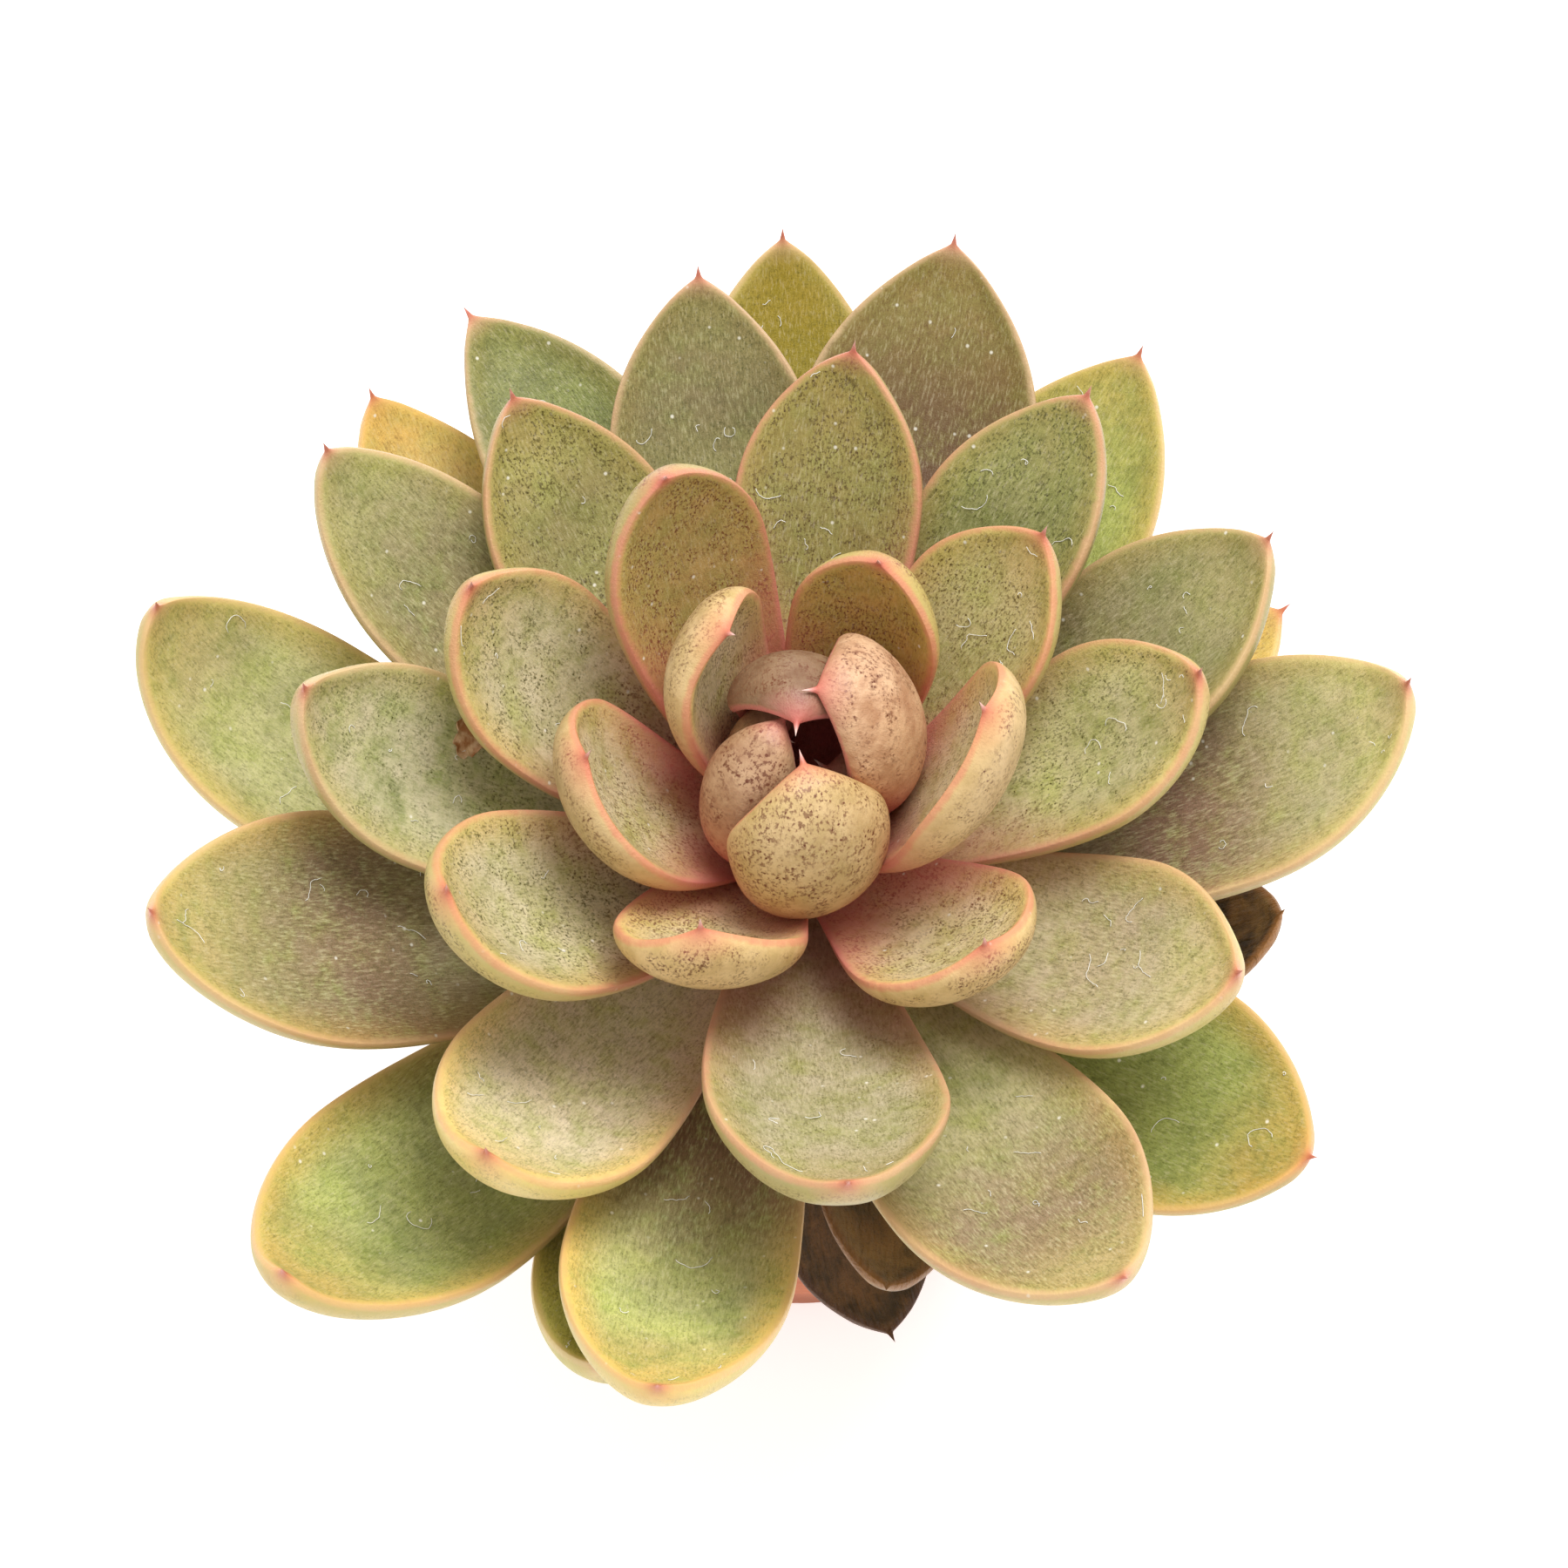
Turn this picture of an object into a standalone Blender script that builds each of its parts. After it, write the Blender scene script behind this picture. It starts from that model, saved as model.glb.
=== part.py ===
"""Echeveria rosette in a plain round clay pot: pot, soil, stem and each leaf as its own closed solid.

The origin is the middle of the pot's flat base, +Z is up, and the object is in metres.
The named sizes below are in millimetres and degrees.
"""

import math

import bmesh
import bpy
import numpy as np

MM = 0.001
GAP = 0.3
TURN_STEPS = 36

# ---- pot ----
POT_HEIGHT = 38.0
POT_BASE_RADIUS = 19.0
POT_TOP_RADIUS = 28.0
POT_WALL = 3.0
POT_FLOOR = 4.0
RIM_HEIGHT = 8.0
RIM_PROUD = 1.6
RIM_TAPER = 0.6
EDGE = 0.8
DRAIN_HOLES = 4
DRAIN_HOLE_SIDES = 12
DRAIN_HOLE_RADIUS = 2.2
DRAIN_RING_RADIUS = 10.5

# ---- soil ----
SOIL_BELOW_RIM = 3.0
SOIL_MOUND = 4.0
MOUND_STEPS = 6

# ---- stem ----
LEAF_LEVEL = POT_HEIGHT + 14.5  # the oldest leaves grow from about here
STEM_TOP = 17.0              # the youngest leaves sit this far above LEAF_LEVEL
STEM_FALL = 21.0             # and the oldest this far below the youngest
YOUNGEST_BASE_RADIUS = 1.6   # distance of a leaf's base from the stem's axis
OLDEST_BASE_RADIUS = 6.8
STEM_RADIUS = 6.0
STEM_TIP_RADIUS = 0.9
STEM_FOOT = 22.0
CONE_BELOW_LEAVES = 2.0      # the cone ends this far below the oldest leaves

# ---- leaves ----
LEAF_STEPS = 10
FINE = 4
RING_TOP = 6
WIDEST_AT = 0.62
BASE_WIDTH = 0.42
BASE_THICKNESS = 0.45
THICKEST_AT = 0.5
TOP_SHARE = 0.12
FULL_LEAF_LENGTH = 42.0      # shorter leaves are thinner in proportion
LEAF_THICKNESS = 2.6
BUD_THICKNESS = 1.6
DRIED_THICKNESS = 1.5
LEAF_BEND = 2.2              # an open leaf curls up mostly near its tip
BUD_BEND = 1.1               # a bud leaf bows evenly over the middle
LEAF_CUP = 0.25
BUD_CUP = 0.5
SWAY_BEND = 1.5
TIP_OUTLINE = (2.3, 0.85)    # powers that bring the outline in to the tip
TIP_THINNING = (2.6, 0.6)    # powers that thin the leaf to the tip
BELLY = (2.2, 0.8)           # powers of the underside's curve across the leaf

# Each leaf from the youngest outwards. Turn is its compass heading, rise the slope at its base,
# curl how far it has turned up at the tip, roll its lean to one side and sway its sideways bow.
# name: (turn, rise, curl, length, width, roll, sway)
LEAVES = {
    "bud_leaf_1": (150, 46, 95, 14, 8, 2, -2),
    "bud_leaf_2": (330, 45, 97, 13, 9, 3, -1),
    "bud_leaf_3": (94, 43, 121, 24.5, 11.5, -4, -8),
    "bud_leaf_4": (20, 37, 120, 26, 14, -9, -13),
    "bud_leaf_5": (221, 38, 121, 23.5, 7.5, -1, 17),
    "bud_leaf_6": (277, 26, 130, 25.5, 14, 9, 9),
    "leaf_01": (141, 59, 66, 28, 13, 16, -4),
    "leaf_02": (194, 38, 62, 28.5, 16, 5, -2),
    "leaf_03": (348, 55, 45, 32.5, 16, -4, -8),
    "leaf_04": (239, 34, 63, 30, 14.5, 4, 36),
    "leaf_05": (310, 28, 58, 30, 15, 2, -12),
    "leaf_06": (67, 54, 39, 28, 12.5, 4, -13),
    "leaf_07": (125, 48, 47, 37, 15, 13, -9),
    "leaf_08": (210, 27, 54, 40, 16.5, -6, 1),
    "leaf_09": (42, 39, 17, 32, 15, -7, 0),
    "leaf_10": (160, 33, 50, 38, 15.5, -6, -5),
    "leaf_11": (8, 27, 40, 37, 15.5, 0, 4),
    "leaf_12": (271, 27, 34, 44.5, 18.5, -8, 12),
    "leaf_13": (87, 25, 30, 39.5, 15.5, -7, -12),
    "leaf_14": (228, 9, 68, 45.5, 18, -7, 23),
    "leaf_15": (331, 19, 38, 40.5, 17, 8, 0),
    "leaf_16": (179, 24, 52, 46.5, 15.5, -12, -7),
    "leaf_17": (55, 28, 21, 42.5, 15, -6, -5),
    "leaf_18": (128, 20, 36, 43, 16, 2, -6),
    "leaf_19": (25, 20, 32, 44.5, 18, -12, 8),
    "leaf_20": (294, 17, 33, 50.5, 20, -4, 15),
    "leaf_21": (104, 17, 31, 47.5, 17.5, -6, -10),
    "leaf_22": (252, 9, 57, 55, 18, -5, 20),
    "leaf_23": (2, 15, 52, 52, 19, -4, 16),
    "leaf_24": (196, 18, 48, 57, 19.5, -9, 5),
    "leaf_25": (75, 13, 34, 52, 20.5, 2, 2),
    "leaf_26": (145, 20, 43, 51, 15.5, -7, 1),
    "leaf_27": (222, 4, 70, 60.5, 20, -2, 17),
    "leaf_28": (113.5, 12, 17, 52.5, 16, -2, 23),
    "leaf_29": (172, 6, 78, 59.5, 18.5, -2, -24),
    "leaf_30": (56, 9, 34, 50, 18, 0, 1),
    "leaf_31": (324, 10, 32, 46.5, 20, 7, 0),
    "leaf_32": (92, 4, 45, 54, 18.5, 9, -1),
    "leaf_33": (136, 0, 49, 53.5, 16.5, 9, -14),
    "leaf_34": (249, 6, 55, 47.5, 17.5, 7, 8),
    "leaf_35": (36, -10, 34, 45.5, 17.5, -8, -7),
    "dried_leaf_1": (350, 3, 60, 37.5, 14, -4, 6),
    "dried_leaf_2": (288, 9, 34, 34, 11.5, -8, -27),
    "dried_leaf_3": (277, -28, 39, 31, 13.5, -14, 16),
}


def remove_everything():
    for thing in list(bpy.data.objects):
        bpy.data.objects.remove(thing, do_unlink=True)


def principled(name, colour, roughness):
    """A plain Principled material of one colour."""
    material = bpy.data.materials.new(name)
    material.use_nodes = True
    shader = material.node_tree.nodes["Principled BSDF"]
    shader.inputs["Base Color"].default_value = (*colour, 1.0)
    shader.inputs["Roughness"].default_value = roughness
    shader.inputs["Metallic"].default_value = 0.0
    return material


def add_object(name, mesh, material, collection):
    thing = bpy.data.objects.new(name, mesh)
    mesh.materials.append(material)
    collection.objects.link(thing)
    return thing


def move_to(thing, collection_name):
    """Moves an object out of its collections into the named one."""
    target = bpy.data.collections.get(collection_name)
    if target is None:
        target = bpy.data.collections.new(collection_name)
        bpy.context.scene.collection.children.link(target)
    for old in list(thing.users_collection):
        old.objects.unlink(thing)
    target.objects.link(thing)


# ---- turned pieces: pot, soil and stem ----

def turned(name, profile, material, collection):
    """Turns a profile of (radius, height) points in millimetres about the Z axis."""
    mesh = bpy.data.meshes.new(name)
    points = [(radius * MM, 0.0, height * MM) for radius, height in profile]
    edges = [(i, i + 1) for i in range(len(points) - 1)]
    mesh.from_pydata(points, edges, [])
    thing = add_object(name, mesh, material, collection)
    screw = thing.modifiers.new("turn", "SCREW")
    screw.axis = "Z"
    screw.angle = math.tau
    screw.steps = TURN_STEPS
    screw.render_steps = TURN_STEPS
    screw.use_merge_vertices = True
    screw.merge_threshold = 0.00001
    return thing


def pot_inner_radius(height):
    """Radius of the pot's inside wall, which widens evenly from the floor to the lip."""
    floor = POT_BASE_RADIUS - POT_WALL
    lip = POT_TOP_RADIUS - RIM_PROUD - POT_WALL
    return floor + (lip - floor) * (height - POT_FLOOR) / (POT_HEIGHT - POT_FLOOR)


def pot_profile():
    """Up the inside from the middle of the floor, over the rim, and down the outside to the base."""
    rim_foot = POT_HEIGHT - RIM_HEIGHT
    lip = pot_inner_radius(POT_HEIGHT)
    body_top = POT_TOP_RADIUS - RIM_PROUD
    return [
        (0.0, POT_FLOOR),
        (pot_inner_radius(POT_FLOOR), POT_FLOOR),
        (pot_inner_radius(POT_HEIGHT - EDGE), POT_HEIGHT - EDGE),
        (lip + EDGE, POT_HEIGHT),
        (POT_TOP_RADIUS - EDGE, POT_HEIGHT),
        (POT_TOP_RADIUS, POT_HEIGHT - EDGE),
        (POT_TOP_RADIUS - RIM_TAPER, rim_foot),
        (body_top - RIM_TAPER, rim_foot),
        (POT_BASE_RADIUS, EDGE),
        (POT_BASE_RADIUS - EDGE, 0.0),
        (0.0, 0.0),
    ]


def add_pot(material, collection):
    """The turned pot, with a ring of drain holes cut through its floor."""
    pot = turned("pot", pot_profile(), material, collection)
    for number in range(DRAIN_HOLES):
        angle = math.tau * (number + 0.5) / DRAIN_HOLES
        bpy.ops.mesh.primitive_cylinder_add(
            vertices=DRAIN_HOLE_SIDES,
            radius=DRAIN_HOLE_RADIUS * MM,
            depth=3 * POT_FLOOR * MM,
            location=(
                DRAIN_RING_RADIUS * MM * math.cos(angle),
                DRAIN_RING_RADIUS * MM * math.sin(angle),
                POT_FLOOR / 2 * MM,
            ),
        )
        cutter = bpy.context.object
        cutter.name = f"drain_cutter_{number + 1}"
        cutter.hide_render = True
        cutter.display_type = "WIRE"
        cut = pot.modifiers.new(f"drain_{number + 1}", "BOOLEAN")
        cut.operation = "DIFFERENCE"
        cut.solver = "EXACT"
        cut.object = cutter
        move_to(cutter, "cutters")
    return pot


def soil_height(radius):
    """The soil is flat at the wall and mounds up to the stem."""
    wall = pot_inner_radius(POT_HEIGHT - SOIL_BELOW_RIM) - GAP
    rise = 0.5 + 0.5 * math.cos(math.pi * radius / wall)
    return POT_HEIGHT - SOIL_BELOW_RIM + SOIL_MOUND * rise


def soil_profile():
    """From the bottom of the stem's socket up to the mound, out to the wall and down to the floor."""
    socket = STEM_RADIUS + GAP
    wall_top = pot_inner_radius(POT_HEIGHT - SOIL_BELOW_RIM) - GAP
    bottom = POT_FLOOR + GAP
    radii = [socket + (wall_top - socket) * i / MOUND_STEPS for i in range(MOUND_STEPS + 1)]
    return (
        [(0.0, STEM_FOOT - GAP), (socket, STEM_FOOT - GAP)]
        + [(radius, soil_height(radius)) for radius in radii]
        + [(pot_inner_radius(bottom) - GAP, bottom), (0.0, bottom)]
    )


def stem_profile():
    """A cone inside the leaf bases, a plain round stem below them, and a foot in the soil."""
    cone_top = LEAF_LEVEL + STEM_TOP - EDGE
    cone_foot = cone_top - STEM_FALL - CONE_BELOW_LEAVES
    return [
        (0.0, cone_top + EDGE / 2),
        (STEM_TIP_RADIUS, cone_top),
        (STEM_RADIUS, cone_foot),
        (STEM_RADIUS, STEM_FOOT + EDGE),
        (STEM_RADIUS - EDGE, STEM_FOOT),
        (0.0, STEM_FOOT),
    ]


# ---- leaves ----

def smooth(value):
    """Eases from 0 to 1."""
    value = np.clip(value, 0.0, 1.0)
    return value * value * (3.0 - 2.0 * value)


def half_width(along, width):
    """Spoon outline: a narrow base, widest at WIDEST_AT, then in to a pointed tip."""
    base = BASE_WIDTH + (1.0 - BASE_WIDTH) * smooth(along / WIDEST_AT)
    past = np.clip((along - WIDEST_AT) / (1.0 - WIDEST_AT), 0.0, 1.0)
    steep, ease = TIP_OUTLINE
    tip = (1.0 - past**steep) ** ease
    return width / 2 * np.where(along < WIDEST_AT, base, tip)


def thickness_along(along, thickness):
    """Thin at the base, full at THICKEST_AT, then down to nothing at the tip."""
    base = BASE_THICKNESS + (1.0 - BASE_THICKNESS) * smooth(along / THICKEST_AT)
    past = np.clip((along - THICKEST_AT) / (1.0 - THICKEST_AT), 0.0, 1.0)
    steep, ease = TIP_THINNING
    tip = (1.0 - past**steep) ** ease
    return thickness * np.where(along < THICKEST_AT, base, tip)


def spine(leaf, base_radius, base_height, bend):
    """Points up the middle of the leaf, with the directions across it and out of its upper face."""
    turn, rise, curl, length, width, roll, sway = leaf
    along = np.linspace(0.0, 1.0, LEAF_STEPS * FINE + 1)
    pitch = np.radians(rise + curl * along**bend)
    heading = np.radians(turn + sway * along**SWAY_BEND)
    forward = np.stack(
        [np.cos(heading) * np.cos(pitch), np.sin(heading) * np.cos(pitch), np.sin(pitch)], axis=1
    )
    side = np.stack([-np.sin(heading), np.cos(heading), 0 * heading], axis=1)
    face = np.cross(forward, side)
    steps = (forward[1:] + forward[:-1]) / 2 * length / (LEAF_STEPS * FINE)
    start = [base_radius * math.cos(heading[0]), base_radius * math.sin(heading[0]), base_height]
    points = np.vstack([[0.0, 0.0, 0.0], np.cumsum(steps, axis=0)]) + start
    lean = math.radians(roll)
    across = side * math.cos(lean) + face * math.sin(lean)
    outward = face * math.cos(lean) - side * math.sin(lean)
    return along[::FINE], points[::FINE], across[::FINE], outward[::FINE]


def leaf_rings(leaf, base_radius, base_height, bend, cup, thickness):
    """Closed cross-sections of the leaf, base first, and the point of its tip.

    Each section follows a circle that cups the upper face; the underside bellies out below it.
    """
    along, points, across, outward = spine(leaf, base_radius, base_height, bend)
    width = leaf[4]
    bow_radius = width / (4.0 * cup)
    steep, ease = BELLY
    turn = np.linspace(0.0, math.pi, RING_TOP)
    top = np.cos(turn)
    under = top[-2:0:-1]
    rings = []
    for i in range(LEAF_STEPS):
        half = half_width(along[i], width)
        thick = thickness_along(along[i], thickness)
        upper = TOP_SHARE * thick * np.sqrt(np.clip(1.0 - top**2, 0.0, 1.0))
        lower = -(1.0 - TOP_SHARE) * thick * (1.0 - np.abs(under) ** steep) ** ease
        place = np.concatenate([top, under]) * half / bow_radius
        lift = np.concatenate([upper, lower])
        sideways = bow_radius * np.sin(place) - lift * np.sin(place)
        upward = bow_radius * (1.0 - np.cos(place)) + lift * np.cos(place)
        rings.append(points[i] + np.outer(sideways, across[i]) + np.outer(upward, outward[i]))
    return rings, points[-1]


def leaf_mesh(name, rings, tip):
    """Joins the rings into a closed skin, with a fan of triangles at the base and at the tip."""
    build = bmesh.new()
    loops = [[build.verts.new(point * MM) for point in ring] for ring in rings]
    apex = build.verts.new(tip * MM)
    foot = build.verts.new(rings[0].mean(axis=0) * MM)
    count = len(loops[0])
    for lower, upper in zip(loops, loops[1:]):
        for i in range(count):
            j = (i + 1) % count
            build.faces.new((lower[i], lower[j], upper[j], upper[i]))
    for i in range(count):
        j = (i + 1) % count
        build.faces.new((loops[-1][i], loops[-1][j], apex))
        build.faces.new((loops[0][j], loops[0][i], foot))
    bmesh.ops.triangulate(build, faces=build.faces, quad_method="FIXED")
    bmesh.ops.recalc_face_normals(build, faces=build.faces)
    mesh = bpy.data.meshes.new(name)
    build.to_mesh(mesh)
    build.free()
    mesh.shade_smooth()
    return mesh


def add_leaf(number, name, leaf, materials, collection):
    """Places one leaf; the older it is, the lower and the further out its base sits on the stem."""
    age = number / (len(LEAVES) - 1)
    base_radius = YOUNGEST_BASE_RADIUS + (OLDEST_BASE_RADIUS - YOUNGEST_BASE_RADIUS) * age
    base_height = LEAF_LEVEL + STEM_TOP - STEM_FALL * age
    kind = name.split("_")[0]
    bend, cup = (BUD_BEND, BUD_CUP) if kind == "bud" else (LEAF_BEND, LEAF_CUP)
    if kind == "bud":
        thickness = BUD_THICKNESS
    elif kind == "dried":
        thickness = DRIED_THICKNESS
    else:
        thickness = LEAF_THICKNESS * min(1.0, leaf[3] / FULL_LEAF_LENGTH)
    rings, tip = leaf_rings(leaf, base_radius, base_height, bend, cup, thickness)
    add_object(name, leaf_mesh(name, rings, tip), materials[kind], collection)


def main():
    remove_everything()
    plant = bpy.data.collections.new("potted_succulent")
    bpy.context.scene.collection.children.link(plant)
    add_pot(principled("clay", (0.55, 0.26, 0.16), 0.85), plant)
    turned("soil", soil_profile(), principled("soil", (0.09, 0.06, 0.04), 0.95), plant)
    turned("stem", stem_profile(), principled("stem", (0.30, 0.24, 0.16), 0.80), plant)
    materials = {
        "leaf": principled("leaf", (0.42, 0.45, 0.22), 0.45),
        "bud": principled("bud", (0.55, 0.36, 0.27), 0.45),
        "dried": principled("dried", (0.16, 0.09, 0.05), 0.60),
    }
    for number, (name, leaf) in enumerate(LEAVES.items()):
        add_leaf(number, name, leaf, materials, plant)


main()
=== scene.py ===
import math

import bpy
import numpy as np
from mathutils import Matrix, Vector


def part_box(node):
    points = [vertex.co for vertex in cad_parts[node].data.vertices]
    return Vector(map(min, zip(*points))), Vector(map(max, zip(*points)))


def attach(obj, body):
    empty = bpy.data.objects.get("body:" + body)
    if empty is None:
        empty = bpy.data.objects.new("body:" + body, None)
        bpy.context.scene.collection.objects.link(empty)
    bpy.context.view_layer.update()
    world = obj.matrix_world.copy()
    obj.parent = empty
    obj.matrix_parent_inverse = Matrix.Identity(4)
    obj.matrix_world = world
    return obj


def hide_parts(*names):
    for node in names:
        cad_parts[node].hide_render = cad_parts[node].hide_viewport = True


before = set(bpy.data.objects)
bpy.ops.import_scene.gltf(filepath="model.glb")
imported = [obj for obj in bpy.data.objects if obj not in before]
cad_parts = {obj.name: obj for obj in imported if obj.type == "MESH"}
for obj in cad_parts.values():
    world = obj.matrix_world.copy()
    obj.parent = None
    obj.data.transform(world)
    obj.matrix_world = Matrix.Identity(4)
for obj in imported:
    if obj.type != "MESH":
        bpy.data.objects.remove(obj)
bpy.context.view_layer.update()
mm = 0.001
potLow, potHigh = (np.array(corner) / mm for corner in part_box("pot"))
soilLow, soilHigh = (np.array(corner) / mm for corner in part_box("soil"))
stemLow, stemHigh = (np.array(corner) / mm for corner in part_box("stem"))
leafLevel = potHigh[2] + 14.5   # height of the oldest leaves' bases, a little above this one
print("frame loaded:", len(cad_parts), "nodes")


# An output socket. Arithmetic on it adds Math nodes, and node() adds any other kind of node.
class Wire:
    def __init__(self, tree, socket=None):
        self.tree = tree
        self.socket = socket

    def node(self, kind, settings=None, inputs=None, output=0):
        made = self.tree.nodes.new("ShaderNode" + kind)
        for name, value in (settings or {}).items():
            setattr(made, name, value)
        for name, value in (inputs or {}).items():
            if isinstance(value, Wire):
                self.tree.links.new(value.socket, made.inputs[name])
            else:
                made.inputs[name].default_value = value
        return Wire(self.tree, made.outputs[output])

    def maths(self, operation, first, second):
        return self.node("Math", {"operation": operation}, {0: first, 1: second})

    def __add__(self, other):
        return self.maths("ADD", self, other)

    def __sub__(self, other):
        return self.maths("SUBTRACT", self, other)

    def __rsub__(self, other):
        return self.maths("SUBTRACT", other, self)

    def __mul__(self, other):
        return self.maths("MULTIPLY", self, other)

    __radd__ = __add__
    __rmul__ = __mul__

    # eases from 0 at low to 1 at high
    def ease(self, low, high):
        return self.node("MapRange", {"interpolation_type": "SMOOTHSTEP"},
                         {"Value": self, "From Min": low, "From Max": high})

    # the colour first where this value is 0, second where it is 1
    def mix(self, first, second):
        return self.node("Mix", {"data_type": "RGBA"}, {0: self, 6: first, 7: second}, 2)

    # a vector stretched by three numbers
    def stretch(self, *sizes):
        return self.node("VectorMath", {"operation": "MULTIPLY"}, {0: self, 1: sizes})

    def noise(self, scale, detail=2.0, roughness=0.5):
        return self.node("TexNoise", None, {"Vector": self, "Scale": scale, "Detail": detail,
                                            "Roughness": roughness})

    # distance to the nearest of many scattered points
    def cells(self, scale):
        return self.node("TexVoronoi", None, {"Vector": self, "Scale": scale})

    def parts(self):
        return [self.node("SeparateXYZ", None, {0: self}, i) for i in range(3)]


def attribute(start, name):
    return start.node("Attribute", {"attribute_name": name}, None, "Vector")


def objectPlace(start):
    return start.node("TexCoord", None, None, "Object")


# colour given as it looks on a screen, 0 to 255
def paint(red, green, blue):
    channel = np.array([red, green, blue]) / 255
    linear = np.where(channel < 0.04045, channel / 12.92, ((channel + 0.055) / 1.055) ** 2.4)
    return (*linear.tolist(), 1.0)


def emptyMaterial(name):
    material = bpy.data.materials.new(name)
    material.use_nodes = True
    return material, Wire(material.node_tree)


# Joins colour, roughness and the height of small relief (in mm) to the material's own shader.
def finishMaterial(material, colour, roughness, relief, reliefDepth, constants):
    tree = material.node_tree
    shader = tree.nodes["Principled BSDF"]
    bump = colour.node("Bump", None, {"Height": relief, "Strength": 1.0, "Distance": reliefDepth * mm})
    tree.links.new(colour.socket, shader.inputs["Base Color"])
    tree.links.new(roughness.socket, shader.inputs["Roughness"])
    tree.links.new(bump.socket, shader.inputs["Normal"])
    for name, value in constants.items():
        shader.inputs[name].default_value = value
    return material


# Closed tubes: rings[tube, step, around] of points in mm, each tube closed by a fan at both ends.
def tubePiece(name, rings, feet, tips, material, values=None):
    tubes, steps, around = rings.shape[:3]
    ring = np.arange(tubes * steps * around).reshape(tubes, steps, around)
    after = np.roll(ring, -1, axis=2)
    foot = np.repeat(ring.size + np.arange(tubes), around).reshape(tubes, around)
    quads = np.stack([ring[:, :-1], after[:, :-1], after[:, 1:], ring[:, 1:]], axis=-1)
    footFan = np.stack([after[:, 0], ring[:, 0], foot], axis=-1)
    tipFan = np.stack([ring[:, -1], after[:, -1], foot + tubes], axis=-1)
    corners = np.concatenate([quads.ravel(), footFan.ravel(), tipFan.ravel()])
    sides = np.concatenate([np.full(quads.size // 4, 4), np.full(2 * foot.size, 3)])
    points = np.concatenate([rings.reshape(-1, 3), feet.reshape(-1, 3), tips.reshape(-1, 3)]) * mm
    mesh = bpy.data.meshes.new(name)
    mesh.vertices.add(len(points))
    mesh.vertices.foreach_set("co", points.ravel())
    mesh.loops.add(len(corners))
    mesh.loops.foreach_set("vertex_index", corners.astype(np.int32))
    mesh.polygons.add(len(sides))
    mesh.polygons.foreach_set("loop_start", (np.cumsum(sides) - sides).astype(np.int32))
    mesh.update(calc_edges=True)
    mesh.shade_smooth()
    for label, rows in (values or {}).items():
        ends = np.stack([rows[:, 0].mean(axis=1), rows[:, -1].mean(axis=1)])
        rows = np.concatenate([rows.reshape(-1, 3), ends.reshape(-1, 3)])
        mesh.attributes.new(label, "FLOAT_VECTOR", "POINT").data.foreach_set("vector", rows.ravel())
    piece = bpy.data.objects.new(name, mesh)
    bpy.context.scene.collection.objects.link(piece)
    mesh.materials.append(material)
    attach(piece, "root")
    return piece


def smooth(value):
    value = np.clip(value, 0.0, 1.0)
    return value * value * (3.0 - 2.0 * value)


leafForm = {
    "steps": 84,
    "tipCrowding": 1.35,
    "thickestAt": 0.5,
    "bladeShort": 0.4,
    "fuller": 1.03,
    "outline": (2.1, 0.9),
    "thinning": (2.8, 0.6),
    "belly": (2.4, 0.62),
    "purpleReach": 0.24,
    "around": 72,
    "thickness": {"leaf": 3.8, "bud": 2.6, "dried": 1.9},   # mm at the thickest
    "fullLength": 42.0,         # shorter leaves are a little thinner
    "bend": {"leaf": 2.2, "bud": 1.1, "dried": 2.2},        # power of the curl along the leaf
    "cup": {"leaf": 0.25, "bud": 0.5, "dried": 0.25},       # bow across the leaf
    "widestAt": 0.64,
    "baseWidth": 0.42,
    "baseThickness": 0.45,
    "topShare": 0.12,           # part of the thickness above the bow
    "ridge": 0.2,               # mm that the margin stands up
    "ridgeIn": 0.6,             # mm from the margin to the ridge's top
    "ridgeWidth": 1.0,
    "hookLength": 3.0,
    "hookRadius": 0.75,
    "hookLift": 14.0,           # degrees that the hook turns up
    "wave": 0.35,               # mm that the margin sways up and down
    "dent": 0.07,               # mm of slow unevenness in the skin
    "stemTop": 17.0,            # youngest base above leafLevel
    "stemFall": 21.0,
    "youngestBase": 1.6,        # distance of the base from the stem's axis
    "oldestBase": 6.8,
}

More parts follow.
